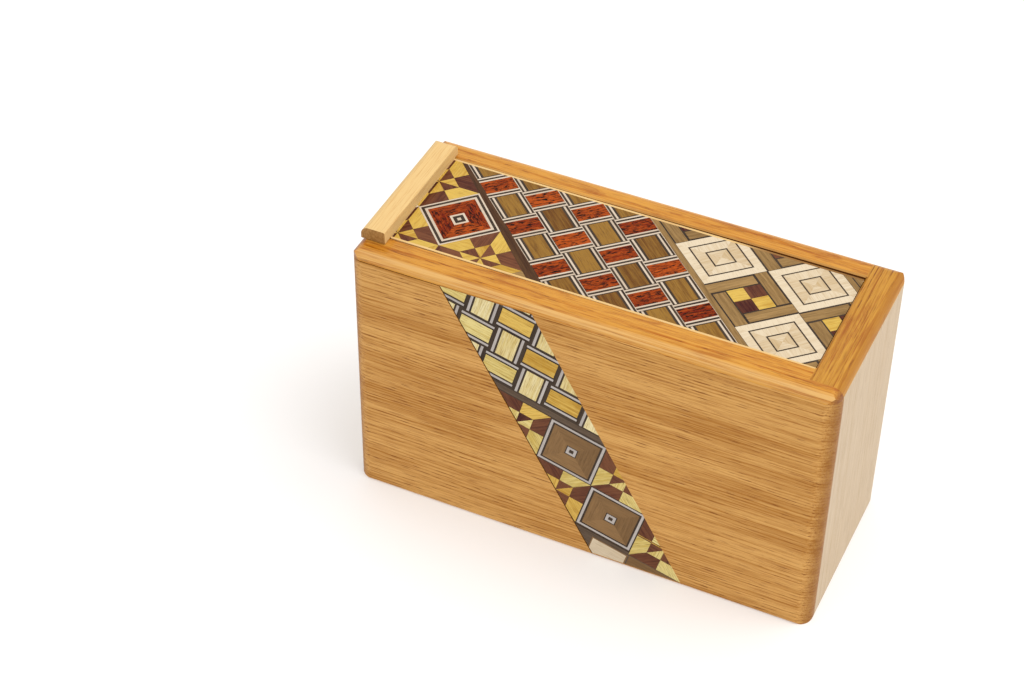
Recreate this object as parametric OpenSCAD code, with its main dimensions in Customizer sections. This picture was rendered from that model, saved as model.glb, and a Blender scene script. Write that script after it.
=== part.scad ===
// Wooden puzzle box with a diagonal marquetry stripe. The front panel left of the
// stripe is a key: it slides along the front wall and draws down a hidden bolt.
// The inlaid lid then slides out over the left end board.
// Length runs along X, the front faces -Y, and the origin is at the centre of the base.

/* [Box] */
// Length over the end boards
box_l = 120; // [100:1:160]
// Width over the side boards
box_w = 50; // [41:1:80]
// Height to the top of the rim
box_h = 73; // [60:1:100]
// Thickness of the outer front boards: the fixed panel and the key panel
face_t = 4.2; // [3.9:0.1:6]
// Thickness of the inner front board, which holds the lock
lock_board_t = 4.2; // [3.5:0.1:6]
// Thickness of the outer back board
back_t = 3.4; // [2.4:0.1:6]
// Thickness of the inner back board
back_inner_t = 3.6; // [2.4:0.1:6]
// Thickness of the outer right end board
right_t = 4.2; // [3:0.1:6]
// Thickness of the inner right end board
right_inner_t = 4; // [3:0.1:6]
// Thickness of the left end board
left_t = 6; // [4:0.1:8]
// Thickness of the bottom board
floor_t = 4; // [2:0.1:8]
// Radius of the upright edges
corner_r = 4; // [0.5:0.1:5]
// Radius of the top edges
edge_r = 3; // [0.5:0.1:3.5]
// Radius of the bottom edges
foot_r = 0.8; // [0.2:0.1:1.5]

/* [Rim] */
// Thickness of the rails that cap the walls
rail_t = 2.1; // [1.5:0.1:4]
// Chamfer along the rails' inner edges
rail_ease = 0.35; // [0.1:0.05:0.6]
// Height of the groove under the rails that the lid runs in
groove_h = 3.3; // [2.4:0.1:5]

/* [Lid] */
// Thickness of the lid board under its marquetry
lid_t = 5; // [4.5:0.1:7]
// Thickness of the marquetry sheet at its thin right end
sheet_t = 1.3; // [0.6:0.1:2]
// Drop from the rim to the lid's surface at the right end
lid_drop = 0.7; // [0.6:0.05:1.2]
// Rise of the lid's surface from the right end to the left
lid_rise = 0.55; // [0:0.05:0.55]
// Width of the pale strips along the lid's long edges
strip_w = 0.6; // [0.4:0.05:1.2]
// Reach of the lid's end tongue into the right end groove
end_tongue_l = 2; // [1:0.1:2.5]

/* [Bar] */
// Width of the bar across the lid's left end
bar_w = 6.2; // [4:0.1:8]
// Lap of the bar over the front rail
bar_front_lap = 2.8; // [1:0.1:4]
// Lap of the bar over the back rail
bar_back_lap = 1.4; // [1:0.1:3]
// Height of the bar above the rim
bar_h = 3.4; // [2:0.1:6]
// Distance from the left end to the bar
bar_inset = 0.7; // [0:0.1:2]
// Radius of the bar's outer top edge
bar_r = 2; // [0.5:0.1:2]
// Radius of the bar's inner top edge
bar_inner_r = 0.4; // [0.2:0.1:0.8]
// Radius of the top edge at the bar's back end
bar_end_r = 2; // [0.5:0.1:2]
// Diameter of the pegs that hold the bar to the lid
peg_d = 3; // [2:0.1:3.5]
// Distance between the two pegs
peg_spacing = 22; // [12:0.5:26]
// Depth of the pegs in the lid board
peg_depth = 4; // [2:0.1:4]

/* [Stripe] */
// Distance from the left end to the stripe's foot
stripe_x = 64.9; // [60:0.1:70]
// Width across the stripe
stripe_w = 20; // [12:0.5:24]
// Lean of the stripe from upright, in degrees
stripe_lean = 30; // [15:1:36]
// Thickness of the stripe's veneer
stripe_t = 0.8; // [0.5:0.1:1.2]

/* [Key panel] */
// Distance that the key panel slides
key_travel = 6; // [3:0.5:7]
// Distance from the foot of the bolt's slot down to the dovetail runner
runner_drop = 10; // [4:0.5:10]
// Width of the runner where it leaves the panel
runner_neck = 5; // [4:0.1:6]
// Width of the runner where it is widest
runner_root = 7; // [6:0.1:8]
// Depth of the runner in the inner board
runner_depth = 2.2; // [1.5:0.1:2.4]
// Distance from the runner's right end to the panel's slanted edge
runner_margin = 5; // [2:0.5:12]
// Diameter of the pegs that hold the runner to the panel
runner_peg_d = 2; // [1.5:0.1:2.5]

/* [Lock bolt] */
// Distance from the left end to the bolt's middle
bolt_x = 16; // [14:0.5:18]
// Width of the bolt
bolt_w = 5; // [4:0.1:6]
// Thickness of the bolt
bolt_t = 1.6; // [1.2:0.1:1.8]
// Length of the bolt
bolt_l = 22; // [18:0.5:24]
// Fall of the bolt for each millimetre that the key panel slides
cam_ratio = 0.5; // [0.3:0.05:0.6]
// Diameter of the bolt's pin
pin_d = 1.6; // [1.2:0.1:2]
// Height of the pin above the bolt's lower end
pin_up = 4.5; // [3:0.5:6]
// Depth of the cam groove in the back of the key panel
cam_depth = 2; // [1.5:0.1:2.4]
// Thickness of the keeper strip across the bolt
keeper_t = 0.9; // [0.6:0.1:1]
// Height of the keeper strip
keeper_h = 4; // [3:0.5:5]
// Distance from the top of the lowered bolt down to the keeper strip
keeper_drop = 2; // [1:0.5:3]
// Overlap of the keeper strip on each side of the bolt's slot
keeper_lap = 3; // [2:0.5:3.5]
// Depth of the notch in the lid's runner that the bolt is made for
notch_h = 2; // [1:0.1:2.2]

/* [Fits] */
// Gap between pieces that slide on each other
slide_gap = 0.25; // [0.15:0.05:0.3]
// Gap along the key panel's slanted edge
seam_gap = 0.3; // [0.2:0.05:0.4]
// Gap between the bar and the top of the rim
bar_gap = 0.15; // [0.1:0.05:0.3]
// Height of the key panel above the surface that the box stands on
key_lift = 0.3; // [0.2:0.1:0.6]

/* [Hidden] */
$fn = 64;

// Colours of the woods
zelkova = [0.80, 0.62, 0.38];
rim_wood = [0.84, 0.58, 0.28];
pale_wood = [0.95, 0.84, 0.62];
inner_wood = [0.88, 0.74, 0.52];
dark_wood = [0.42, 0.26, 0.17];

// Levels and faces of the walls
x_left = -box_l / 2;
x_right = box_l / 2;
x_in_left = x_left + left_t;
x_seam_right = x_right - right_t;
x_in_right = x_seam_right - right_inner_t;
y_front = -box_w / 2;
y_back = box_w / 2;
y_seam_front = y_front + face_t;
y_in_front = y_seam_front + lock_board_t;
y_seam_back = y_back - back_t;
y_in_back = y_seam_back - back_inner_t;
rail_z = box_h - rail_t;
shelf_z = rail_z - groove_h;

// Lid
lid_top_z = box_h - lid_drop - sheet_t;
lid_bottom_z = lid_top_z - lid_t;
lid_x0 = x_left + bar_inset;
lid_x1 = x_in_right - slide_gap;
lid_y0 = y_in_front + slide_gap;
lid_y1 = y_in_back - slide_gap;
sheet_x0 = lid_x0 + bar_w;
tongue_z0 = shelf_z + slide_gap;
tongue_z1 = rail_z - slide_gap;
bar_z0 = box_h + bar_gap;
bar_top_z = box_h + bar_h;
bar_y0 = y_in_front - bar_front_lap;
bar_y1 = y_in_back + bar_back_lap;

// Key panel and the stripe's slant
slant = tan(stripe_lean);
stripe_foot = x_left + stripe_x;
stripe_run = stripe_w / cos(stripe_lean);
key_back_y = y_seam_front - slide_gap;

// Lock bolt, its slot in the front inner board, and the cam groove
bolt_mid = x_left + bolt_x;
bolt_fall = key_travel * cam_ratio;
bolt_top_z = shelf_z - slide_gap;
bolt_z0 = bolt_top_z - bolt_l;
pin_z = bolt_z0 + pin_up;
keeper_z = bolt_top_z - bolt_fall - keeper_drop - keeper_h;
slot_w = bolt_w + 2 * slide_gap;
slot_d = keeper_t + bolt_t + 2 * slide_gap;
slot_z0 = bolt_z0 - bolt_fall - slide_gap;
bolt_y = y_seam_front + keeper_t + slide_gap;
cam_w = pin_d + 2 * slide_gap;

// Key panel's runner, below the bolt's slot
runner_z = slot_z0 - runner_drop - runner_root / 2;
runner_x0 = x_in_left + key_travel + slide_gap;
runner_x1 = stripe_foot - (runner_z + runner_root / 2) * slant - runner_margin;
runner_len = runner_x1 - runner_x0;

// Overshoot of the shapes that cut through a face
cut = 1;

// ---- Shared shapes ----

// Box between two corners
module block(x0, x1, y0, y1, z0, z1) {
    translate([x0, y0, z0]) cube([x1 - x0, y1 - y0, z1 - z0]);
}

// Rectangle from the origin with its four corners rounded
module rounded(l, w, r_low, r_high) {
    translate([r_low, 0]) square([l - 2 * r_low, r_low]);
    translate([0, r_low]) square([l, w - r_low - r_high]);
    translate([r_high, w - r_high]) square([l - 2 * r_high, r_high]);
    for (x = [r_low, l - r_low]) translate([x, r_low]) circle(r_low);
    for (x = [r_high, l - r_high]) translate([x, w - r_high]) circle(r_high);
}

// Outline in X and Z, extruded along Y from y0 to y1
module along_y(y0, y1) {
    translate([0, y1, 0]) rotate([90, 0, 0]) linear_extrude(y1 - y0) children();
}

// Outline in Y and Z, extruded along X from x0 to x1
module along_x(x0, x1) {
    translate([x0, 0, 0]) rotate([90, 0, 90]) linear_extrude(x1 - x0) children();
}

// Whole outer form of the box, with its rounded edges
module outer_form() {
    intersection() {
        translate([x_left, y_front, 0])
            linear_extrude(box_h) rounded(box_l, box_w, corner_r, corner_r);
        along_y(y_front, y_back)
            translate([x_left, 0]) rounded(box_l, box_h, foot_r, edge_r);
        along_x(x_left, x_right)
            translate([y_front, 0]) rounded(box_w, box_h, foot_r, edge_r);
    }
}

// Outer board or rail: a block shaped by the outer form
module shaped(x0, x1, y0, y1, z0, z1) {
    intersection() {
        outer_form();
        block(x0, x1, y0, y1, z0, z1);
    }
}

// Area between two lines that lean with the stripe, from foot x0 to foot x1
module leaning(x0, x1) {
    polygon([[x0, 0], [x1, 0], [x1 - box_h * slant, box_h], [x0 - box_h * slant, box_h]]);
}

// Four-sided bar along a rail's inner top edge, which chamfers it
module ease(x0, x1, y0, y1) {
    length = max(x1 - x0, y1 - y0);
    turn = x1 > x0 ? 90 : 0;
    translate([(x0 + x1) / 2, (y0 + y1) / 2, box_h]) rotate([90, 0, turn])
        cylinder(h = length, r = rail_ease, center = true, $fn = 4);
}

// Dovetail outline of the runner and its groove, grown by gap g
module dovetail(depth, g) {
    polygon([
        [y_seam_front - cut, runner_z - runner_neck / 2 - g],
        [y_seam_front, runner_z - runner_neck / 2 - g],
        [y_seam_front + depth, runner_z - runner_root / 2 - g],
        [y_seam_front + depth, runner_z + runner_root / 2 + g],
        [y_seam_front, runner_z + runner_neck / 2 + g],
        [y_seam_front - cut, runner_z + runner_neck / 2 + g]
    ]);
}

// Outline of the marquetry sheet, seen from the front: its top falls to the right
module sheet_outline() {
    polygon([
        [sheet_x0, lid_top_z], [lid_x1, lid_top_z],
        [lid_x1, lid_top_z + sheet_t], [sheet_x0, lid_top_z + sheet_t + lid_rise]
    ]);
}

// ---- Box ----

module bottom_board() {
    color(inner_wood) block(x_in_left, x_seam_right, y_seam_front, y_seam_back, 0, floor_t);
}

// The notch in its top edge lets the lid board slide out over it
module left_end_board() {
    color(pale_wood) difference() {
        shaped(x_left, x_in_left, y_seam_front, y_seam_back, 0, shelf_z);
        block(x_left - cut, x_in_left + cut, y_in_front, y_in_back,
              lid_bottom_z - slide_gap, shelf_z + cut);
    }
}

// It stands behind the front panel and covers the end of the back board
module right_end_board() {
    color(pale_wood) shaped(x_seam_right, x_right, y_seam_front, y_back, 0, rail_z);
}

module right_inner_board() {
    color(inner_wood) block(x_in_right, x_seam_right, y_seam_front, y_seam_back, floor_t, shelf_z);
}

module back_board() {
    color(zelkova) shaped(x_left, x_seam_right, y_seam_back, y_back, 0, rail_z);
}

module back_inner_board() {
    color(inner_wood) block(x_in_left, x_in_right, y_in_back, y_seam_back, floor_t, shelf_z);
}

// Fixed part of the front, with a recess for the stripe
module front_panel() {
    color(zelkova) difference() {
        intersection() {
            shaped(x_left, x_right, y_front, y_seam_front, 0, rail_z);
            along_y(y_front - cut, y_back) leaning(stripe_foot, x_right + box_h);
        }
        stripe_space();
    }
}

// Space that the stripe's veneer fills
module stripe_space() {
    intersection() {
        along_y(y_front - cut, y_front + stripe_t) leaning(stripe_foot, stripe_foot + stripe_run);
        block(x_left, x_right, y_front - cut, y_front + stripe_t, foot_r, rail_z);
    }
}

module front_stripe() {
    color(dark_wood) intersection() {
        outer_form();
        stripe_space();
    }
}

// Carries the runner's dovetail groove, the bolt's slot and the keeper's recess
module front_inner_board() {
    color(inner_wood) difference() {
        block(x_in_left, x_in_right, y_seam_front, y_in_front, floor_t, shelf_z);
        along_x(x_in_left - cut, runner_x1 + slide_gap)
            dovetail(runner_depth + slide_gap, slide_gap);
        block(bolt_mid - slot_w / 2, bolt_mid + slot_w / 2, y_seam_front - cut, y_seam_front + slot_d,
              slot_z0, shelf_z + cut);
        keeper_space(cut);
    }
}

// Recess that the keeper strip fills, open at the front by a given extra depth
module keeper_space(extra) {
    block(bolt_mid - slot_w / 2 - keeper_lap, bolt_mid + slot_w / 2 + keeper_lap,
          y_seam_front - extra, y_seam_front + keeper_t, keeper_z, keeper_z + keeper_h);
}

module bolt_keeper() {
    color(pale_wood) keeper_space(0);
}

// ---- Rim ----

// Its right end is notched for the right rail
module front_rail() {
    color(rim_wood) difference() {
        shaped(x_left, x_right, y_front, y_in_front, rail_z, box_h);
        block(x_in_right, x_right + cut, y_seam_front, y_back, rail_z - cut, box_h + cut);
        ease(x_left, x_in_right, y_in_front, y_in_front);
    }
}

module back_rail() {
    color(rim_wood) difference() {
        shaped(x_left, x_in_right, y_in_back, y_back, rail_z, box_h);
        ease(x_left, x_in_right, y_in_back, y_in_back);
    }
}

module right_rail() {
    color(rim_wood) difference() {
        shaped(x_in_right, x_right, y_seam_front, y_back, rail_z, box_h);
        ease(x_in_right, x_in_right, y_in_front, y_in_back);
    }
}

// ---- Key panel ----

// Sliding part of the front, with the cam groove in its back
module key_panel() {
    color(zelkova) difference() {
        intersection() {
            shaped(x_left, x_right, y_front, key_back_y, key_lift, rail_z - slide_gap);
            along_y(y_front - cut, y_back)
                leaning(x_left - box_h, stripe_foot - seam_gap / cos(stripe_lean));
        }
        cam_groove();
        for (x = runner_peg_places()) runner_peg(x);
    }
}

// The bolt's pin travels in this groove as the panel slides
module cam_groove() {
    fall = atan(cam_ratio);
    length = key_travel / cos(fall);
    translate([bolt_mid, key_back_y - cam_depth, pin_z]) rotate([0, fall, 0]) {
        translate([0, 0, -cam_w / 2]) cube([length, cam_depth + cut, cam_w]);
        for (x = [0, length]) translate([x, 0, 0]) rotate([-90, 0, 0])
            cylinder(h = cam_depth + cut, d = cam_w);
    }
}

// Dovetail runner on the back of the key panel
module key_runner() {
    color(pale_wood) difference() {
        intersection() {
            along_x(runner_x0, runner_x1) dovetail(runner_depth, 0);
            block(x_left, x_right, key_back_y, y_back, 0, box_h);
        }
        for (x = runner_peg_places()) runner_peg(x);
    }
}

function runner_peg_places() = [runner_x0 + runner_len / 5, runner_x0 + runner_len * 4 / 5];

// One peg through the runner, half way into the panel
module runner_peg(x) {
    y0 = key_back_y - face_t / 2;
    translate([x, y0, runner_z]) rotate([-90, 0, 0])
        cylinder(h = y_seam_front + runner_depth - y0, d = runner_peg_d);
}

module key_runner_pegs() {
    color(dark_wood) for (x = runner_peg_places()) runner_peg(x);
}

// ---- Lock bolt ----

module lock_bolt() {
    color(pale_wood) difference() {
        block(bolt_mid - bolt_w / 2, bolt_mid + bolt_w / 2, bolt_y, bolt_y + bolt_t, bolt_z0, bolt_top_z);
        bolt_pin_shape();
    }
}

module bolt_pin_shape() {
    y0 = key_back_y - cam_depth + slide_gap;
    translate([bolt_mid, y0, pin_z]) rotate([-90, 0, 0]) cylinder(h = bolt_y + bolt_t - y0, d = pin_d);
}

module bolt_pin() {
    color(dark_wood) bolt_pin_shape();
}

// ---- Lid ----

module lid_board() {
    color(inner_wood) difference() {
        union() {
            block(lid_x0, lid_x1, lid_y0, lid_y1, lid_bottom_z, lid_top_z);
            block(lid_x1, lid_x1 + end_tongue_l, lid_y0, lid_y1, tongue_z0, tongue_z1);
        }
        lid_pegs();
    }
}

// The notch is where the bolt would stand when the box is locked
module lid_runner_front() {
    color(pale_wood) difference() {
        block(lid_x0, lid_x1, y_seam_front + slide_gap, lid_y0, tongue_z0, tongue_z1);
        block(bolt_mid - slot_w / 2, bolt_mid + slot_w / 2, y_seam_front, lid_y0,
              tongue_z0 - cut, tongue_z0 + notch_h);
    }
}

module lid_runner_back() {
    color(pale_wood) block(lid_x0, lid_x1, lid_y1, y_seam_back - slide_gap, tongue_z0, tongue_z1);
}

module lid_marquetry() {
    color(dark_wood) along_y(lid_y0 + strip_w, lid_y1 - strip_w) sheet_outline();
}

module lid_edge_strip_front() {
    color(pale_wood) along_y(lid_y0, lid_y0 + strip_w) sheet_outline();
}

module lid_edge_strip_back() {
    color(pale_wood) along_y(lid_y1 - strip_w, lid_y1) sheet_outline();
}

// Bar that is gripped to slide the lid: it laps over both rails
module lid_bar() {
    color(pale_wood) difference() {
        union() {
            block(lid_x0, sheet_x0, lid_y0, lid_y1, lid_top_z, bar_z0);
            intersection() {
                along_y(bar_y0, bar_y1) bar_outline();
                along_x(lid_x0, sheet_x0) bar_side();
            }
        }
        lid_pegs();
    }
}

// Bar's upper outline seen from the end: its back top corner is rounded
module bar_side() {
    length = bar_y1 - bar_y0;
    height = bar_top_z - bar_z0;
    translate([bar_y0, bar_z0]) intersection() {
        square([length, height]);
        union() {
            square([length - bar_end_r, height]);
            square([length, height - bar_end_r]);
            translate([length - bar_end_r, height - bar_end_r]) circle(bar_end_r);
        }
    }
}

// Bar's upper outline: its top corners are rounded, the left one more
module bar_outline() {
    height = bar_top_z - bar_z0;
    translate([lid_x0, bar_z0]) intersection() {
        square([bar_w, height]);
        union() {
            square([bar_w, height - bar_r]);
            translate([bar_r, 0]) square([bar_w - bar_r, height - bar_inner_r]);
            translate([bar_r, 0]) square([bar_w - bar_r - bar_inner_r, height]);
            translate([bar_r, height - bar_r]) circle(bar_r);
            translate([bar_w - bar_inner_r, height - bar_inner_r]) circle(bar_inner_r);
        }
    }
}

module lid_pegs() {
    for (y = [-peg_spacing / 2, peg_spacing / 2] + [1, 1] * (lid_y0 + lid_y1) / 2)
        translate([lid_x0 + bar_w / 2, y, lid_top_z - peg_depth])
            cylinder(h = peg_depth + bar_z0 - lid_top_z + bar_h / 2, d = peg_d);
}

module lid_bar_pegs() {
    color(dark_wood) lid_pegs();
}

bottom_board();
left_end_board();
right_end_board();
right_inner_board();
back_board();
back_inner_board();
front_panel();
front_stripe();
front_inner_board();
front_rail();
back_rail();
right_rail();
bolt_keeper();
key_panel();
key_runner();
key_runner_pegs();
lock_bolt();
bolt_pin();
lid_board();
lid_runner_front();
lid_runner_back();
lid_marquetry();
lid_edge_strip_front();
lid_edge_strip_back();
lid_bar();
lid_bar_pegs();
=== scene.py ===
import bpy
import math
import random
from mathutils import Matrix, Vector


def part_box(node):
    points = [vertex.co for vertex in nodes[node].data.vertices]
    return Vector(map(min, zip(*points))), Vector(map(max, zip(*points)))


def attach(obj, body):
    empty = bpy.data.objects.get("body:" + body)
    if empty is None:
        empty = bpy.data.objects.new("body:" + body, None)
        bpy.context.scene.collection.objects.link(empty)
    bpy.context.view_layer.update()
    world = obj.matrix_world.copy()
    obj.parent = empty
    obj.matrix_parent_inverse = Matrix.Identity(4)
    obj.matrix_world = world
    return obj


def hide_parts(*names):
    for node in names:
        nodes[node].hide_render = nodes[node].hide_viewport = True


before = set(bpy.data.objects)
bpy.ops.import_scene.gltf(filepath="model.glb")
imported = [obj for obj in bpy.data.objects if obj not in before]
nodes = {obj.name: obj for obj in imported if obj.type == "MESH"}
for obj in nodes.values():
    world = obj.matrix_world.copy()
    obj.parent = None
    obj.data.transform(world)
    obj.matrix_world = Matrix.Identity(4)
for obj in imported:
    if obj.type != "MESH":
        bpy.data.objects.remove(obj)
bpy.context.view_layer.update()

scene = bpy.context.scene
rng = random.Random(7)
MM = 0.001
IN_MM = 1 / MM
NEAR = 0.1 * MM  # how near an edge a vertex counts as on it


# ---- Shader helpers ----

TOP_LIGHT = 1.4
SIDE_LIGHT = 1.0
SHEEN = 0.016


def seen(r, g, b, light=TOP_LIGHT):
    """Linear colour of a surface that looks like this, 0 to 255, under the studio's light."""
    def lin(c):
        c /= 255
        c = c / 12.92 if c <= 0.04045 else ((c + 0.055) / 1.055) ** 2.4
        return max(c - SHEEN, 0.003) / light
    return (lin(r), lin(g), lin(b), 1.0)


def seen_side(r, g, b):
    """The same for a wood that the photograph shows on an upright face."""
    return seen(r, g, b, SIDE_LIGHT)


class Nodes:
    """Short ways to make and join shader nodes."""

    def __init__(self, name):
        self.mat = bpy.data.materials.new(name)
        self.mat.use_nodes = True
        self.tree = self.mat.node_tree
        self.tree.nodes.clear()
        out = self.add("ShaderNodeOutputMaterial")
        self.bsdf = self.add("ShaderNodeBsdfPrincipled")
        self.tree.links.new(self.bsdf.outputs[0], out.inputs[0])

    def add(self, kind, **props):
        n = self.tree.nodes.new(kind)
        for key, value in props.items():
            setattr(n, key, value)
        return n

    def put(self, socket, value):
        if isinstance(value, bpy.types.NodeSocket):
            self.tree.links.new(value, socket)
        elif value is not None:
            socket.default_value = value

    def math(self, op, a, b=0.0, clamp=False):
        n = self.add("ShaderNodeMath", operation=op, use_clamp=clamp)
        self.put(n.inputs[0], a)
        self.put(n.inputs[1], b)
        return n.outputs[0]

    def times(self, a, b):
        return self.math("MULTIPLY", a, b)

    def split(self, vector):
        """The outputs X, Y and Z of a vector."""
        n = self.add("ShaderNodeSeparateXYZ")
        self.put(n.inputs[0], vector)
        return n.outputs

    def scaled(self, vector, x, y, z, shift=(0, 0, 0)):
        n = self.add("ShaderNodeMapping")
        self.put(n.inputs["Vector"], vector)
        n.inputs["Scale"].default_value = (x, y, z)
        n.inputs["Location"].default_value = shift
        return n.outputs[0]

    def noise(self, vector, scale=1.0, detail=3.0, rough=0.55, distort=0.0):
        n = self.add("ShaderNodeTexNoise")
        self.put(n.inputs["Vector"], vector)
        n.inputs["Scale"].default_value = scale
        n.inputs["Detail"].default_value = detail
        n.inputs["Roughness"].default_value = rough
        n.inputs["Distortion"].default_value = distort
        return n.outputs["Fac"]

    def ramp(self, value, a, b, low=0.0, high=1.0):
        n = self.add("ShaderNodeMapRange", interpolation_type="SMOOTHSTEP")
        self.put(n.inputs["Value"], value)
        for key, v in zip(("From Min", "From Max", "To Min", "To Max"), (a, b, low, high)):
            n.inputs[key].default_value = v
        return n.outputs[0]

    def mix(self, factor, a, b):
        n = self.add("ShaderNodeMix", data_type="RGBA")
        self.put(n.inputs[0], factor)
        self.put(n.inputs[6], a)
        self.put(n.inputs[7], b)
        return n.outputs[2]


BUMP_STRENGTH = 0.6


def finish_wood(g, colour, height, rough, depth, coat, coat_rough, gloss=0.1):
    """Colour, roughness and relief into the shader, with a lacquer coat of a fixed weight."""
    g.put(g.bsdf.inputs["Base Color"], colour)
    g.put(g.bsdf.inputs["Roughness"], rough)
    g.bsdf.inputs["Specular IOR Level"].default_value = gloss
    g.bsdf.inputs["Coat Weight"].default_value = coat
    g.bsdf.inputs["Coat Roughness"].default_value = coat_rough
    bump = g.add("ShaderNodeBump")
    bump.inputs["Strength"].default_value = BUMP_STRENGTH
    bump.inputs["Distance"].default_value = depth
    g.put(bump.inputs["Height"], height)
    g.put(g.bsdf.inputs["Normal"], bump.outputs[0])
    return g.mat


GRAIN_ORDER = {"X": (0, 2, 1), "Y": (1, 0, 2), "Z": (2, 1, 0)}
PALE_SHARE = 0.38  # taken off the depth, so that the palest wood stays clean
BOARD_RELIEF = 0.03 * MM


def board_wood(name, axis, pale, mid, dark, pore, end, ring=0.8, ring_strength=0.5, pores=0.5,
               figure=0.0, shift=0.0, rough=(0.34, 0.52), coat=0.25, coat_rough=0.22,
               fine=0.35, broad_strength=0.35, painted_highlight=None, painted_shade=None, end_strength=0.8):
    """Solid wood on a CAD piece, its grain along one axis of the frame.
    ring is rings per mm across the face; figure is the mottling across the grain;
    the highlight argument is a paler colour painted along its rounded edges, a painted highlight;
    the shade argument is (colour, direction, x0, x1, least, most): painted shade, a darker colour
    on the faces that look that way, from least at x0 to most at x1 (metres)."""
    g = Nodes(name)
    place = g.split(g.add("ShaderNodeTexCoord").outputs["Object"])
    join = g.add("ShaderNodeCombineXYZ")
    for i, k in enumerate(GRAIN_ORDER[axis]):
        g.put(join.inputs[i], place[k])
    p = g.scaled(join.outputs[0], IN_MM, IN_MM, IN_MM, (shift, shift * 0.7, shift * 1.3))
    normal = g.add("ShaderNodeNewGeometry").outputs["Normal"]
    out = g.split(normal)
    facing = g.math("ABSOLUTE", out["XYZ".index(axis)])

    sway = g.noise(g.scaled(p, 0.008, 0.05, 0.05), 1.0, 2.0)
    warp = g.noise(g.scaled(p, 0.03, 0.4, 0.4), 1.0, 3.0)
    across = g.split(p)
    level = g.math("ADD", across[1], g.times(sway, 7.0))
    level = g.math("ADD", level, g.times(warp, 1.5))
    level = g.math("ADD", level, g.times(across[2], 0.35))
    saw = g.math("FRACT", g.times(level, ring))
    rings = g.math("SUBTRACT", g.ramp(saw, 0.45, 0.88), g.ramp(saw, 0.9, 1.0))
    broken = g.noise(g.scaled(p, 0.035, 0.7, 0.7), 1.0, 3.0, 0.6)
    broad = g.noise(g.scaled(p, 0.015, 0.22, 0.22), 1.0, 3.0, 0.6)
    streak = g.noise(g.scaled(p, 0.025, 2.4, 2.4), 1.0, 4.0, 0.7)
    hair = g.noise(g.scaled(p, 0.1, 4.5, 4.5), 1.0, 3.0, 0.65)
    dash = g.noise(g.scaled(p, 0.22, 2.8, 2.8), 1.0, 2.0, 0.6)
    early = g.times(rings, g.ramp(broken, 0.36, 0.6, 0.25, 1.0))
    in_rings = g.math("ADD", g.times(early, 0.8), 0.2)
    pore_mask = g.times(g.ramp(dash, 0.55, 0.63), in_rings)

    depth = g.times(early, ring_strength)
    depth = g.math("ADD", depth, g.times(g.ramp(streak, 0.3, 0.75), fine))
    depth = g.math("ADD", depth, g.times(g.ramp(broad, 0.3, 0.75), broad_strength))
    depth = g.math("SUBTRACT", depth, PALE_SHARE, clamp=True)
    colour = g.mix(depth, pale, mid)
    colour = g.mix(g.times(g.ramp(hair, 0.5, 0.68), 0.6), colour, dark)
    if figure:
        mottle = g.noise(g.scaled(p, 0.07, 0.42, 0.42), 1.0, 4.0, 0.65, 0.5)
        colour = g.mix(g.times(g.ramp(mottle, 0.5, 0.7), figure), colour, dark)
        colour = g.mix(g.times(g.ramp(mottle, 0.3, 0.46, 1.0, 0.0), figure), colour, pale)
    colour = g.mix(g.times(pore_mask, pores), colour, pore)
    dots = g.noise(g.scaled(p, 0.5, 2.6, 1.2), 1.0, 3.0, 0.6)
    end_colour = g.mix(g.ramp(dots, 0.35, 0.65), end, pore)
    colour = g.mix(g.times(g.ramp(facing, 0.25, 0.95), end_strength), colour, end_colour)
    # Painted highlight: a paler colour painted along the rounded edges where the lacquer catches the
    # light, less on end grain.
    if painted_highlight:
        mask = g.times(g.ramp(out["Z"], 0.3, 0.7), g.ramp(out["Z"], 0.84, 0.99, 1.0, 0.0))
        mask = g.times(mask, g.ramp(streak, 0.42, 0.68, 0.8, 0.15))
        mask = g.times(mask, g.ramp(facing, 0.15, 0.45, 1.0, 0.0))
        colour = g.mix(mask, colour, painted_highlight)
    # Painted shade: faces that look the given way are darkened, more towards one end in x.
    if painted_shade:
        shade, direction, x0, x1, least, most = painted_shade
        toward = g.add("ShaderNodeVectorMath", operation="DOT_PRODUCT")
        g.put(toward.inputs[0], normal)
        toward.inputs[1].default_value = direction
        reach = g.ramp(place["X"], x0, x1, least, most)
        mask = g.times(g.ramp(toward.outputs["Value"], 0.6, 0.9), reach)
        colour = g.mix(mask, colour, g.mix(streak, shade, pore))
    height = g.math("SUBTRACT", g.times(streak, 0.4), g.times(pore_mask, 0.8))
    rough_out = g.ramp(streak, 0.3, 0.7, rough[0], rough[1])
    return finish_wood(g, colour, height, rough_out, BOARD_RELIEF, coat, coat_rough)


TILE_RELIEF = 0.015 * MM
TILE_ROUGH = (0.3, 0.46)
TILE_COAT_ROUGH = 0.2


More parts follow.
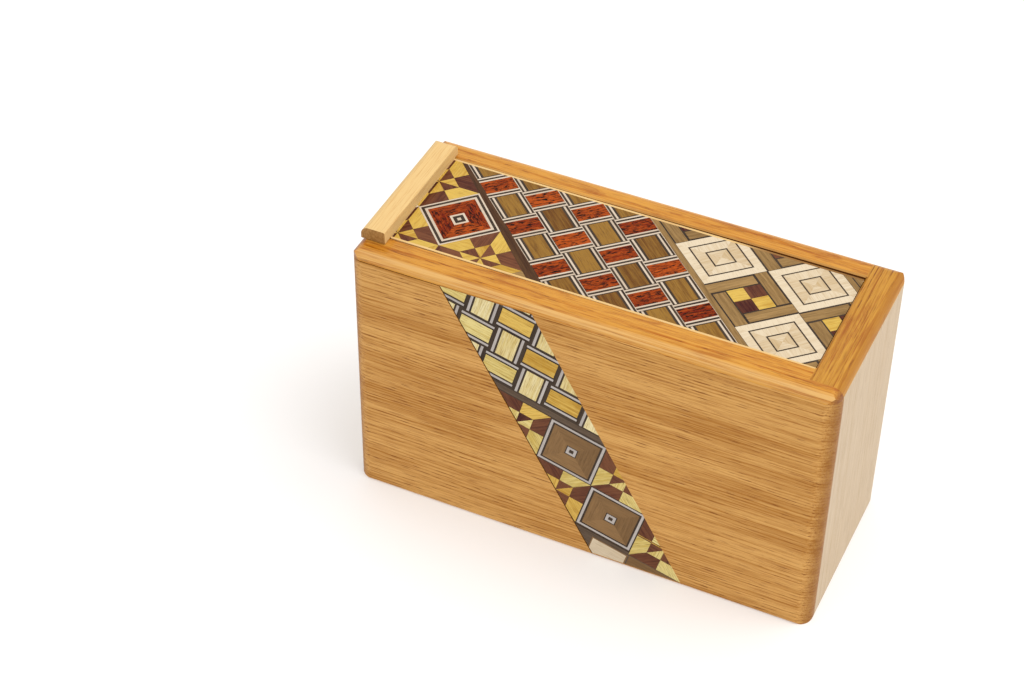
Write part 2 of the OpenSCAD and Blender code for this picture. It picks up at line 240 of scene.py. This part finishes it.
def tile_wood(name, pale, mid, dark, streak=0.6, speck=0.0, swirl=0.0, spread=0.35,
              fine=0.3, coat=0.08, clouds=0.5, gloss=0.1):
    """Wood of the inlay. Each tile carries its own grain coordinates and tint."""
    g = Nodes(name)
    p = g.add("ShaderNodeAttribute", attribute_name="grain").outputs["Vector"]
    tint = g.add("ShaderNodeAttribute", attribute_name="tint").outputs["Fac"]
    lines = g.noise(g.scaled(p, 0.08, 1.7, 1.7), 1.0, 4.0, 0.65, swirl)
    hair = g.noise(g.scaled(p, 0.3, 6.5, 6.5), 1.0, 3.0, 0.6)
    cloud = g.noise(g.scaled(p, 0.2, 0.35, 0.35), 1.0, 3.0, 0.6, swirl)
    tone = g.times(g.math("SUBTRACT", tint, 0.5), spread * 2)
    patches = g.times(g.math("SUBTRACT", cloud, 0.5), clouds)
    depth = g.math("ADD", g.times(g.ramp(lines, 0.32, 0.7), streak), tone)
    depth = g.math("ADD", depth, patches, clamp=True)
    colour = g.mix(depth, pale, mid)
    colour = g.mix(g.times(g.ramp(hair, 0.48, 0.75), fine), colour, dark)
    height = g.times(hair, -0.5)
    if speck:
        dots = g.noise(g.scaled(p, 0.55, 2.1, 2.1), 1.0, 4.0, 0.7, 0.6)
        mask = g.ramp(dots, 0.47, 0.6)
        colour = g.mix(g.times(mask, speck), colour, dark)
        glow = g.ramp(g.noise(g.scaled(p, 0.7, 1.0, 1.0, (31, 5, 9)), 1.0, 2.0), 0.55, 0.75)
        colour = g.mix(g.times(glow, speck * 0.5), colour, pale)
        height = g.math("SUBTRACT", height, mask)
    rough_out = g.ramp(hair, 0.3, 0.7, *TILE_ROUGH)
    return finish_wood(g, colour, height, rough_out, TILE_RELIEF, coat, TILE_COAT_ROUGH, gloss)


# ---- Woods of the boards ----

FACE = dict(pale=seen_side(212, 162, 96), mid=seen_side(172, 118, 58),
            dark=seen_side(146, 86, 38), pore=seen_side(116, 66, 30), end=seen_side(136, 92, 42))
RIM = dict(pale=seen(236, 168, 74), mid=seen(204, 124, 40), dark=seen(160, 74, 20),
           pore=seen(116, 58, 18), end=seen(134, 76, 32))
PALE = dict(pale=seen(253, 213, 147), mid=seen(240, 187, 118), dark=seen(222, 166, 100),
            pore=seen(190, 136, 76), end=seen(150, 96, 38))
ENDS = dict(pale=seen_side(196, 174, 144), mid=seen_side(184, 158, 124),
            dark=seen_side(160, 132, 96), pore=seen_side(146, 116, 82), end=seen_side(150, 120, 84))
INNER = dict(pale=seen(226, 190, 138), mid=seen(206, 164, 108), dark=seen(176, 130, 78),
             pore=seen(150, 106, 60), end=seen(168, 122, 74))
DARK = dict(pale=seen(120, 74, 46), mid=seen(92, 56, 34), dark=seen(62, 36, 24),
            pore=seen(44, 26, 18), end=seen(60, 36, 24))

# Brown of the painted shade on the back rail's inner face and on the back edge strip.
PAINTED_SHADE_BROWN = seen(84, 48, 22)

face_look = dict(FACE, ring=1.0, ring_strength=0.6, pores=0.95, fine=0.65, broad_strength=0.9,
                 end_strength=0.65, coat=0.03, coat_rough=0.35)
rim_look = dict(RIM, ring=0.85, ring_strength=0.8, pores=0.7, fine=0.8, figure=0.5,
                coat_rough=0.12, rough=(0.28, 0.4))
# Back rail: painted highlight on its rounded edges, and painted shade on its inner face, darker
# towards the right.
back_rim_look = dict(rim_look, figure=0.7, painted_highlight=seen(246, 186, 104),
                     painted_shade=(PAINTED_SHADE_BROWN, (0, -1, 0), -0.02, 0.03, 0.15, 0.9))
# Right rail: a weak painted highlight on its rounded edges.
right_rim_look = dict(rim_look, pale=seen(222, 160, 68), mid=seen(186, 122, 42),
                      painted_highlight=seen(188, 124, 50))
pale_look = dict(PALE, ring=0.9, ring_strength=0.2, pores=0.2, fine=0.35, coat=0.03,
                 coat_rough=0.35)
# Back edge strip: painted shade on its top, darker towards the right, where it lies in the rail's
# shadow.
shaded_strip_look = dict(pale_look, painted_shade=(PAINTED_SHADE_BROWN, (0, 0, 1), 0.018, 0.03, 0.0, 0.9))
end_look = dict(ENDS, ring=0.45, ring_strength=0.2, pores=0.3, fine=0.4, coat=0.02, coat_rough=0.35)
inner_look = dict(INNER, ring=0.5, ring_strength=0.35, pores=0.25, coat=0.0, rough=(0.5, 0.68))
dark_look = dict(DARK, ring=0.9, ring_strength=0.4, pores=0.3, coat=0.03)

BOARDS = {
    "front_panel": ("X", face_look, 0.0),
    "key_panel": ("X", face_look, 2.5),
    "back_board": ("X", face_look, 61.0),
    # Front rail: painted highlight on its rounded edges.
    "front_rail": ("X", dict(rim_look, painted_highlight=seen(252, 202, 130)), 17.0),
    "back_rail": ("X", back_rim_look, 83.0),
    "right_rail": ("Y", right_rim_look, 40.0),
    "left_end_board": ("Z", end_look, 5.0),
    "right_end_board": ("Z", end_look, 29.0),
    "lid_bar": ("Y", pale_look, 11.0),
    "bolt_keeper": ("X", pale_look, 3.0),
    "key_runner": ("X", pale_look, 7.0),
    "lock_bolt": ("Z", pale_look, 9.0),
    "lid_runner_front": ("X", pale_look, 13.0),
    "lid_runner_back": ("X", pale_look, 19.0),
    "lid_edge_strip_front": ("X", pale_look, 23.0),
    "lid_edge_strip_back": ("X", shaded_strip_look, 31.0),
    "bottom_board": ("X", inner_look, 37.0),
    "right_inner_board": ("Y", inner_look, 43.0),
    "back_inner_board": ("X", inner_look, 47.0),
    "front_inner_board": ("X", inner_look, 53.0),
    "lid_board": ("X", inner_look, 59.0),
    "key_runner_pegs": ("Y", dark_look, 1.0),
    "bolt_pin": ("Y", dark_look, 2.0),
    "lid_bar_pegs": ("Z", dark_look, 4.0),
}
for node_name, (axis, look, shift) in BOARDS.items():
    wood = board_wood(node_name + "_wood", axis, shift=shift, **look)
    for material_slot in nodes[node_name].material_slots:
        material_slot.material = wood


# ---- Woods of the inlay ----

WOODS = {
    "white": tile_wood("inlay_white", seen(236, 216, 192), seen(212, 190, 164),
                       seen(180, 154, 126), fine=0.25),
    "silver": tile_wood("inlay_silver", seen_side(186, 178, 172), seen_side(166, 158, 152),
                        seen_side(130, 120, 112), fine=0.25),
    "dark": tile_wood("inlay_dark", seen(84, 70, 58), seen(54, 43, 36), seen(34, 28, 24), fine=0.3),
    "band": tile_wood("inlay_band", seen(108, 76, 50), seen(78, 52, 36), seen(46, 32, 24),
                      fine=0.6, streak=0.8),
    "slate": tile_wood("inlay_slate", seen_side(104, 88, 74), seen_side(82, 68, 56),
                       seen_side(52, 42, 36), fine=0.6),
    "tan": tile_wood("inlay_tan", seen(184, 146, 94), seen(142, 110, 68), seen(94, 68, 44),
                     fine=0.6, streak=0.8),
    "umber": tile_wood("inlay_umber", seen_side(144, 112, 76), seen_side(108, 82, 56),
                       seen_side(78, 58, 40), fine=0.5, streak=0.35, spread=0.6),
    "olive": tile_wood("inlay_olive", seen(168, 124, 58), seen(118, 76, 24), seen(78, 48, 18),
                       streak=0.75, fine=0.6, spread=0.5),
    "burl": tile_wood("inlay_burl", seen(204, 96, 44), seen(134, 50, 18), seen(44, 18, 10),
                      streak=0.9, speck=1.0, swirl=1.2, spread=0.45, fine=0.8, coat=0.0, gloss=0.05),
    "cream": tile_wood("inlay_cream", seen(246, 226, 194), seen(212, 180, 132),
                       seen(176, 142, 96), fine=0.45, streak=0.45, spread=0.45),
    "yellow": tile_wood("inlay_yellow", seen(238, 198, 98), seen(198, 146, 54),
                        seen(140, 96, 38), fine=0.6, clouds=1.3, spread=0.45),
    "gold": tile_wood("inlay_gold", seen_side(218, 182, 94), seen_side(182, 138, 56),
                      seen_side(132, 92, 36), fine=0.7, streak=0.8, clouds=1.0),
    "straw": tile_wood("inlay_straw", seen_side(224, 206, 138), seen_side(196, 168, 88),
                       seen_side(128, 98, 44), fine=0.9, streak=0.8, clouds=0.8),
    "chalk": tile_wood("inlay_chalk", seen_side(230, 216, 168), seen_side(206, 182, 114),
                       seen_side(144, 110, 58), fine=0.8, streak=0.7, clouds=1.0),
    "maroon": tile_wood("inlay_maroon", seen(136, 86, 60), seen(80, 40, 28), seen(42, 20, 14),
                        fine=0.5, spread=0.7, clouds=0.9),
}
WOOD_ORDER = list(WOODS)


# ---- Tiles: convex outlines in mm, cut so that they never overlap ----

def minus(p, q):
    return (p[0] - q[0], p[1] - q[1])


def plus(p, q, k=1.0):
    return (p[0] + q[0] * k, p[1] + q[1] * k)


def step(c, a, i, b, j):
    """The point i times a and j times b from c."""
    return plus(plus(c, a, i), b, j)


def length(a):
    return math.hypot(*a)


def side(p, a, b):
    return (b[0] - a[0]) * (p[1] - a[1]) - (b[1] - a[1]) * (p[0] - a[0])


def area(poly):
    return 0.5 * sum(p[0] * q[1] - q[0] * p[1] for p, q in zip(poly, poly[1:] + poly[:1]))


def cut_by(poly, a, b):
    """The parts of a convex outline to the left and to the right of the line a to b."""
    left, right = [], []
    for p, q in zip(poly, poly[1:] + poly[:1]):
        sp, sq = side(p, a, b), side(q, a, b)
        if sp >= 0:
            left.append(p)
        if sp <= 0:
            right.append(p)
        if sp * sq < 0:
            t = sp / (sp - sq)
            x = (p[0] + (q[0] - p[0]) * t, p[1] + (q[1] - p[1]) * t)
            left.append(x)
            right.append(x)
    return left, right


TINY = 2e-3  # square mm


def whole(poly):
    return len(poly) > 2 and area(poly) > TINY


class Inlay:
    """A sheet of tiles inside a convex outline. A tile laid later cuts away what is under it."""

    def __init__(self, outline):
        self.outline = outline
        self.tiles = []

    def lay(self, wood, poly, grain, tint=None, clip=()):
        """clip holds more convex outlines that the tile is kept inside."""
        if area(poly) < 0:
            poly = poly[::-1]
        for edge_poly in (self.outline,) + tuple(clip):
            if area(edge_poly) < 0:
                edge_poly = edge_poly[::-1]
            for a, b in zip(edge_poly, edge_poly[1:] + edge_poly[:1]):
                poly = cut_by(poly, a, b)[0]
                if not whole(poly):
                    return
        kept = []
        x0, x1 = min(p[0] for p in poly), max(p[0] for p in poly)
        y0, y1 = min(p[1] for p in poly), max(p[1] for p in poly)
        edges = list(zip(poly, poly[1:] + poly[:1]))
        for tile in self.tiles:
            t = tile[1]
            if (max(p[0] for p in t) <= x0 or min(p[0] for p in t) >= x1
                    or max(p[1] for p in t) <= y0 or min(p[1] for p in t) >= y1):
                kept.append(tile)
                continue
            rest, outside = t, []
            for a, b in edges:
                rest, off = cut_by(rest, a, b)
                if whole(off):
                    outside.append(off)
                if not whole(rest):
                    break
            if not whole(rest):
                kept.append(tile)
            else:
                kept += [(tile[0], o) + tile[2:] for o in outside]
        if tint is None:
            tint = rng.random()
        kept.append((wood, poly, grain, tint, rng.uniform(0, 400)))
        self.tiles = kept

    def build(self, name, place, normal):
        """A mesh with one face for each tile; place turns a point in mm into one in the frame."""
        points, faces, slots, grains, tints = [], [], [], [], []
        for wood, poly, grain, tint, offset in self.tiles:
            run = length(grain)
            gx, gy = grain[0] / run, grain[1] / run
            start = len(points)
            for x, y in poly:
                points.append(place(x, y, 0.0))
                grains += [x * gx + y * gy + offset, -x * gy + y * gx, offset * 0.37]
                tints.append(tint)
            faces.append(list(range(start, len(points))))
            slots.append(WOOD_ORDER.index(wood))
        count = len(self.outline)
        top = [place(x, y, 0.0) for x, y in self.outline]
        base = [place(x, y, 1.0) for x, y in self.outline]
        start = len(points)
        points += top + base
        grains += [0.0, 0.0, 5.0] * (2 * count)
        tints += [0.5] * (2 * count)
        for i in range(count):
            j = (i + 1) % count
            faces.append([start + j, start + i, start + count + i, start + count + j])
            slots.append(WOOD_ORDER.index("tan"))
        faces.append([start + count + i for i in range(count)][::-1])
        slots.append(WOOD_ORDER.index("tan"))
        mesh = bpy.data.meshes.new(name)
        mesh.from_pydata(points, [], faces)
        for wood in WOOD_ORDER:
            mesh.materials.append(WOODS[wood])
        mesh.polygons.foreach_set("material_index", slots)
        mesh.attributes.new("grain", "FLOAT_VECTOR", "POINT").data.foreach_set("vector", grains)
        mesh.attributes.new("tint", "FLOAT", "POINT").data.foreach_set("value", tints)
        mesh.update()
        if mesh.polygons[0].normal.dot(Vector(normal)) < 0:
            mesh.flip_normals()
        made = bpy.data.objects.new(name, mesh)
        scene.collection.objects.link(made)
        return made


def cell(c, a, b, k=1.0):
    """Outline of a cell about c, with half sides a and b, scaled by k."""
    return [step(c, a, k * i, b, k * j) for i, j in ((1, 1), (-1, 1), (-1, -1), (1, -1))]


def shrunk(poly, k):
    """An outline drawn in towards its middle."""
    mid = (sum(v[0] for v in poly) / len(poly), sum(v[1] for v in poly) / len(poly))
    return [plus(mid, minus(v, mid), k) for v in poly]


def strip(c, a, b, f0, f1, k=1.0):
    """Strip of a cell along a: from fraction f0 to f1 of half side b, and k of half side a."""
    return [step(c, a, k * i, b, f) for i, f in ((1, f1), (-1, f1), (-1, f0), (1, f0))]


def weave_cell(sheet, c, a, b, wood, lines, bar, clip, gap):
    """A bar along a between groups of thin lines, given from the bar outwards as (wood, mm)."""
    sheet.lay("dark", cell(c, a, b), a, clip=clip)
    width = length(b)
    for way in (1, -1):
        at = bar / 2
        for line, thick in lines:
            f0, f1 = way * at / width, way * (at + thick) / width
            sheet.lay(line, strip(c, a, b, min(f0, f1), max(f0, f1)), a, clip=clip)
            at += thick
    edge = bar / 2 / width
    sheet.lay(wood, strip(c, a, b, -edge, edge, 1 - gap / length(a)), a, clip=clip)


FINE_GAP = 0.12  # mm short of the cell at a bar's ends


def weave(sheet, origin, a, b, along, across, lines, cross_lines, bar, clip, reach, gap=FINE_GAP):
    """Basket weave: bars of one wood along a, and of the other along b, by turns."""
    for i in range(-reach, reach + 1):
        for j in range(-reach, reach + 1):
            c = step(origin, a, 2 * i, b, 2 * j)
            if (i + j) % 2 == 0:
                weave_cell(sheet, c, a, b, along(i, j), lines, bar, clip, gap)
            else:
                weave_cell(sheet, c, b, a, across(i, j), cross_lines, bar, clip, FINE_GAP)


PINWHEEL_SHRINK = 0.985


def pinwheel(sheet, c, a, b, clip, brights=("yellow",), flip=False):
    """Eight quads round eight triangles, light and dark by turns; flip changes them over."""
    corners = cell(c, a, b)
    sheet.lay("dark", corners, a, clip=clip)
    deep = rng.random()
    for k in range(4):
        p, q = corners[k], corners[(k + 1) % 4]
        m = plus(p, minus(q, p), 0.5)
        for end, other, light in ((p, q, False), (q, p, True)):
            half_end, half_m = plus(c, minus(end, c), 0.5), plus(c, minus(m, c), 0.5)
            bright = rng.choice(brights)
            outer, inner = (bright, "maroon") if light != flip else ("maroon", bright)
            dark_tint = min(1, max(0, 0.35 + 0.5 * deep + rng.uniform(-0.3, 0.3)))
            tints = {bright: None, "maroon": dark_tint}
            quad = shrunk([end, m, half_m, half_end], PINWHEEL_SHRINK)
            sheet.lay(outer, quad, minus(end, c), tints[outer], clip)
            tri = shrunk([c, half_end, half_m], PINWHEEL_SHRINK)
            sheet.lay(inner, tri, minus(m, c), tints[inner], clip)


def mitred(sheet, c, a, b, k0, k1, wood, tints, clip, turn=False):
    """Four mitred pieces between two squares about c; the grain runs along each side."""
    outer, inner = cell(c, a, b, k1), cell(c, a, b, k0)
    for k in range(4):
        n = (k + 1) % 4
        run = minus(outer[n], outer[k])
        if turn:
            run = (-run[1], run[0])
        poly = [outer[k], outer[n], inner[n], inner[k]] if k0 > 0 else [outer[k], outer[n], c]
        sheet.lay(wood, poly, run, tints[k], clip)


def rings_in(sheet, c, a, b, rings, clip):
    """Squares inside each other about c: (wood, reach as a share of the half side)."""
    for wood, k in rings:
        sheet.lay(wood, cell(c, a, b, k), a, clip=clip)


# ---- The lid's marquetry: the pattern is read in mm from the left end and the front ----

corner = Vector((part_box("front_rail")[0].x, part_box("front_rail")[0].y, 0))
lid_low, lid_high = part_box("lid_marquetry")
lid_left, lid_right = (lid_low.x - corner.x) / MM, (lid_high.x - corner.x) / MM
lid_front, lid_back = (lid_low.y - corner.y) / MM, (lid_high.y - corner.y) / MM
lid_outline = [(lid_left, lid_front), (lid_right, lid_front), (lid_right, lid_back),
               (lid_left, lid_back)]
lid_points = [v.co for v in nodes["lid_marquetry"].data.vertices]
right_top = max(p.z for p in lid_points if p.x > lid_high.x - NEAR)

# Three lattices: the middle of one cell and the half sides of all, in mm
A_MID = (18.0, 21.9)
A_U = (5.35, 5.47)
A_V = (-5.35, 5.47)
B_MID = (21.0, 37.75)
B_U = (3.0, 2.85)
B_V = (-3.0, 2.85)
C_MID = (78.8, 35.65)
C_U = (5.76, 5.42)
C_V = (-5.76, 5.42)

# Edges of the zones, in half sides from those middles
WEAVE_END = 7
DIAMONDS_END = 3
BAND_END = 3.35
PALE_EDGE = 3.4
THIN_LINE = (3.16, 3.2)
LID_BAR = 4.7  # mm


def right_of(c, u, v, steps):
    """Everything to the right of a cell edge: the one that lies this many half sides u from c."""
    on = plus(c, u, steps)
    far = 40
    return [plus(on, v, -far), step(on, v, -far, u, far), step(on, v, far, u, far),
            plus(on, v, far)]


def left_of(c, u, v, steps):
    return right_of(c, (-u[0], -u[1]), v, -steps)


lid = Inlay(lid_outline)
lid.lay("tan", lid_outline, (1, 0))
RED_LINES = (("white", 0.5), ("dark", 0.6), ("white", 0.5))
OLIVE_LINES = (("dark", 0.6), ("white", 0.5), ("dark", 0.55), ("white", 0.2))
zone_a = (left_of(A_MID, A_U, A_V, 1),)
zone_b = (right_of(B_MID, B_U, B_V, -1), left_of(B_MID, B_U, B_V, WEAVE_END))
zone_c = (right_of(C_MID, C_U, C_V, -1), left_of(C_MID, C_U, C_V, DIAMONDS_END))
bands = ((right_of(A_MID, A_U, A_V, 1), left_of(B_MID, B_U, B_V, -1), "band"),
         (right_of(B_MID, B_U, B_V, WEAVE_END), left_of(C_MID, C_U, C_V, -1), "tan"),
         (right_of(C_MID, C_U, C_V, DIAMONDS_END), left_of(C_MID, C_U, C_V, BAND_END), "tan"))
for start, end, wood in bands:
    lid.lay("dark", lid_outline, (1, -1), clip=(start, end))
    lid.lay(wood, lid_outline, (1, -1), 0.75, clip=(start, end))

# Left: a burl diamond among pinwheels
OUTER_RINGS = (("white", 1.0), ("dark", 0.945), ("white", 0.855))
INNER_RINGS = (("white", 0.24), ("dark", 0.17), ("white", 0.06))
for i in (-1, 0, 1):
    for j in (-1, 0, 1):
        c = step(A_MID, A_U, 2 * i, A_V, 2 * j)
        if (i + j) % 2 or i + j == -2:
            pinwheel(lid, c, A_U, A_V, zone_a, flip=i + j == -2)
        else:
            rings_in(lid, c, A_U, A_V, OUTER_RINGS, zone_a)
            mitred(lid, c, A_U, A_V, 0, 0.775, "burl", (0.7, 1.0, 0.1, 0.85), zone_a)
            rings_in(lid, c, A_U, A_V, INNER_RINGS, zone_a)

# Middle: a basket weave of burl and olive bars
weave(lid, B_MID, B_U, B_V, lambda i, j: "burl", lambda i, j: "olive", RED_LINES, OLIVE_LINES,
      LID_BAR, zone_b, reach=11)


# Right: cream diamonds and brown cells with a chequer
def cream_cell(sheet, c, a, b, clip):
    sheet.lay("dark", cell(c, a, b), a, clip=clip)
    for outer, inner, tone in ((0.985, 0.72, 0.15), (0.67, 0.35, 0.6), (0.3, 0.0, 0.8)):
        tints = [tone + change + rng.uniform(-0.06, 0.06) for change in (-0.1, 0.25, -0.15, 0.3)]
        mitred(sheet, c, a, b, inner, outer, "cream", tints, clip, turn=inner > 0)


def brown_cell(sheet, c, a, b, clip):
    """Four strips that overlap like a pinwheel about a chequer."""
    sheet.lay("dark", cell(c, a, b), a, clip=clip)
    frame_in = 0.53
    for way, (p, q) in enumerate(((a, b), (b, a), (a, b), (b, a))):
        s = 1 if way < 2 else -1
        far = 0.95 * s
        near = (frame_in + 0.045) * s
        lo, hi = (-1.0, 0.5) if way % 2 == 0 else (-0.5, 1.0)
        lo, hi = (lo, hi) if s > 0 else (-hi, -lo)
        poly = [step(c, p, x, q, y) for x, y in ((lo, near), (hi, near), (hi, far), (lo, far))]
        sheet.lay("tan", poly, p, rng.uniform(0.2, 0.9), clip)
    for i, j in ((1, 1), (-1, -1), (-1, 1), (1, -1)):
        middle = step(c, a, i * frame_in / 2, b, j * frame_in / 2)
        wood = "maroon" if i == j else "yellow"
        tint = rng.uniform(0.6, 0.9) if i == j else rng.uniform(0.1, 0.6)
        square = cell(middle, a, b, frame_in / 2 - 0.004)
        sheet.lay(wood, square, b if i == j else a, tint, clip)


for i in range(-2, 4):
    for j in range(-4, 4):
        c = step(C_MID, C_U, 2 * i, C_V, 2 * j)
        if (i + j) % 2 == 0:
            cream_cell(lid, c, C_U, C_V, zone_c)
        else:
            brown_cell(lid, c, C_U, C_V, zone_c)

lid.lay("white", lid_outline, (1, -1), 0.3, clip=(right_of(C_MID, C_U, C_V, PALE_EDGE),))
lid.lay("dark", lid_outline, (1, -1), clip=(right_of(C_MID, C_U, C_V, THIN_LINE[0]),
                                            left_of(C_MID, C_U, C_V, THIN_LINE[1])))


def on_lid(x, y, deep):
    x = corner.x + x * MM
    top = lid_high.z + (right_top - lid_high.z) * (x - lid_low.x) / (lid_high.x - lid_low.x)
    return (x, corner.y + y * MM, lid_low.z if deep else top)


lid_inlay = lid.build("lid_inlay", on_lid, (0, 0, 1))
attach(lid_inlay, "lid")
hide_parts("lid_marquetry")


# ---- The stripe down the front ----

s_low, s_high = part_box("front_stripe")
s_points = [v.co for v in nodes["front_stripe"].data.vertices]
foot = sorted(((p.x - corner.x) / MM for p in s_points if p.z < s_low.z + NEAR))
head = sorted(((p.x - corner.x) / MM for p in s_points if p.z > s_high.z - NEAR))
z_foot, z_head = s_low.z / MM, s_high.z / MM
stripe_outline = [(foot[0], z_foot), (foot[-1], z_foot), (head[-1], z_head), (head[0], z_head)]

# The pattern is turned; below, u runs along its rows and v up across them, in mm
FAR = 120
BELOW = -40
TURN = math.radians(-15)
S_U = (math.cos(TURN), math.sin(TURN))
S_V = (-S_U[1], S_U[0])


def turned(u, v):
    return step((0, 0), S_U, u, S_V, v)


def turned_box(u0, u1, v0, v1):
    """Outline square with the turned pattern's rows."""
    return [turned(u, v) for u, v in ((u0, v0), (u1, v0), (u1, v1), (u0, v1))]


def across_stripe(lo, hi):
    return turned_box(-FAR, FAR, lo, hi)


stripe = Inlay(stripe_outline)
stripe.lay("tan", stripe_outline, (1, 0))
STRIPE_BAR = 4.5
WEAVE_FOOT = 55.55
SQUARE_HEAD = 53.3
SQUARE_FOOT = 24.4
LOWER_HEAD = 22.4
top_zone = across_stripe(WEAVE_FOOT, FAR)
mid_zone = across_stripe(SQUARE_FOOT, SQUARE_HEAD)
GREY_LINES = (("dark", 0.5), ("silver", 0.65))
W_U = plus((0, 0), S_U, 4.3)
W_V = plus((0, 0), S_V, 4.07)
weave(stripe, turned(41.5, 59.6), W_U, W_V, lambda i, j: "gold" if i + j > -1 else "straw",
      lambda i, j: "chalk", GREY_LINES, GREY_LINES, STRIPE_BAR, (top_zone,), reach=6, gap=0.2)
Q_U = plus((0, 0), S_U, 7.5)
Q_V = plus((0, 0), S_V, 7.22)
SQUARE = turned(47.5, 46.08)
SQUARE_OUTER = (("dark", 1.0), ("silver", 0.96), ("dark", 0.875))
SQUARE_INNER = (("dark", 0.2), ("silver", 0.165), ("dark", 0.075))
for i in (-2, -1, 0, 1, 2):
    for j in (-1, 0):
        c = step(SQUARE, Q_U, 2 * i, Q_V, 2 * j)
        if (i + j) % 2:
            pinwheel(stripe, c, Q_U, Q_V, (mid_zone,), ("gold", "straw"), i + j < 0)
        else:
            tints = (0.75, 0.6, 0.45 + 0.35 * j, 0.85)
            rings_in(stripe, c, Q_U, Q_V, SQUARE_OUTER, (mid_zone,))
            mitred(stripe, c, Q_U, Q_V, 0, 0.81, "umber", tints, (mid_zone,))
            rings_in(stripe, c, Q_U, Q_V, SQUARE_INNER, (mid_zone,))
for lo, hi in ((SQUARE_HEAD, WEAVE_FOOT), (BELOW, SQUARE_FOOT)):
    stripe.lay("dark", across_stripe(lo, hi), S_U)
    stripe.lay("slate", across_stripe(lo + 0.3, hi - 0.35), S_U, 0.5)

# The foot: the last pinwheel runs lower than the squares, and a cream bar lies to its left
FOOT_U = 70.0
FOOT_V = 31.09
FOOT_HALF = plus((0, 0), S_V, 7.77)
FOOT_ZONE = turned_box(FOOT_U, FAR, 23.32, 31.4)
UNDER_HEAD = 23.1
CREAM_U = 60.3
EDGE = 0.3
c = plus(plus(turned(FOOT_U, 0), Q_U), S_V, FOOT_V)
pinwheel(stripe, c, Q_U, FOOT_HALF, (FOOT_ZONE,), ("gold", "straw"))
stripe.lay("umber", turned_box(FOOT_U + 0.4, FAR, BELOW, UNDER_HEAD), S_U, 0.8)
stripe.lay("umber", turned_box(CREAM_U, FOOT_U, BELOW, LOWER_HEAD + 0.35), S_U, 0.6)
stripe.lay("cream", turned_box(CREAM_U + EDGE, FOOT_U - EDGE, BELOW, LOWER_HEAD), S_U, 0.3)


def on_front(x, z, deep):
    return (corner.x + x * MM, s_high.y if deep else s_low.y, z * MM)


front_inlay = stripe.build("front_inlay", on_front, (0, -1, 0))
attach(front_inlay, "box")
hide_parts("front_stripe")


# ---- Studio ----

floor_mesh = bpy.data.meshes.new("floor")
half = 2.5
corners = [(-half, -half, 0), (half, -half, 0), (half, half, 0), (-half, half, 0)]
floor_mesh.from_pydata(corners, [], [(0, 1, 2, 3)])
floor = bpy.data.objects.new("floor", floor_mesh)
scene.collection.objects.link(floor)
g = Nodes("floor_paper")
tone = g.noise(g.scaled(g.add("ShaderNodeTexCoord").outputs["Object"], 3, 3, 3), 1.0, 2.0)
paper = g.mix(g.ramp(tone, 0.3, 0.7), seen(240, 240, 242), seen(245, 245, 246))
g.put(g.bsdf.inputs["Base Color"], paper)
g.bsdf.inputs["Roughness"].default_value = 0.7
g.bsdf.inputs["Emission Color"].default_value = (1, 0.9, 0.8, 1)
g.bsdf.inputs["Emission Strength"].default_value = 0.33
g.bsdf.inputs["Specular IOR Level"].default_value = 0.2
floor_mesh.materials.append(g.mat)

world = bpy.data.worlds.new("studio")
scene.world = world
world.use_nodes = True
background = world.node_tree.nodes["Background"]
background.inputs[0].default_value = (0.97, 0.985, 1.0, 1)
background.inputs[1].default_value = 0.98

KEY_AT = Vector((0.7, 0.05, 1.5))
KEY_AIM = Vector((0, 0, 0.03))
key_data = bpy.data.lights.new("key", "AREA")
key_data.shape = "DISK"
key_data.size = 1.3
key_data.energy = 15
key_data.color = (1.0, 0.985, 0.96)
key = bpy.data.objects.new("key", key_data)
scene.collection.objects.link(key)
key.location = KEY_AT
key.rotation_euler = (KEY_AIM - KEY_AT).to_track_quat("-Z", "Y").to_euler()

camera_data = bpy.data.cameras.new("photo_camera")
camera = bpy.data.objects.new("photo_camera", camera_data)
scene.collection.objects.link(camera)
RIGHT = Vector((0.90625, 0.42265, 0.00887))
UP = Vector((-0.28532, 0.59604, 0.75055))
BACK = Vector((0.31193, -0.68272, 0.66075))
turn = Matrix((RIGHT, UP, BACK)).transposed().to_4x4()
camera.matrix_world = Matrix.Translation((0.14823, -0.38826, 0.41267)) @ turn
camera_data.sensor_fit = "HORIZONTAL"
camera_data.sensor_width = 36
camera_data.lens = 81.5
camera_data.clip_start = 0.01
scene.camera = camera
scene.view_settings.view_transform = "Standard"
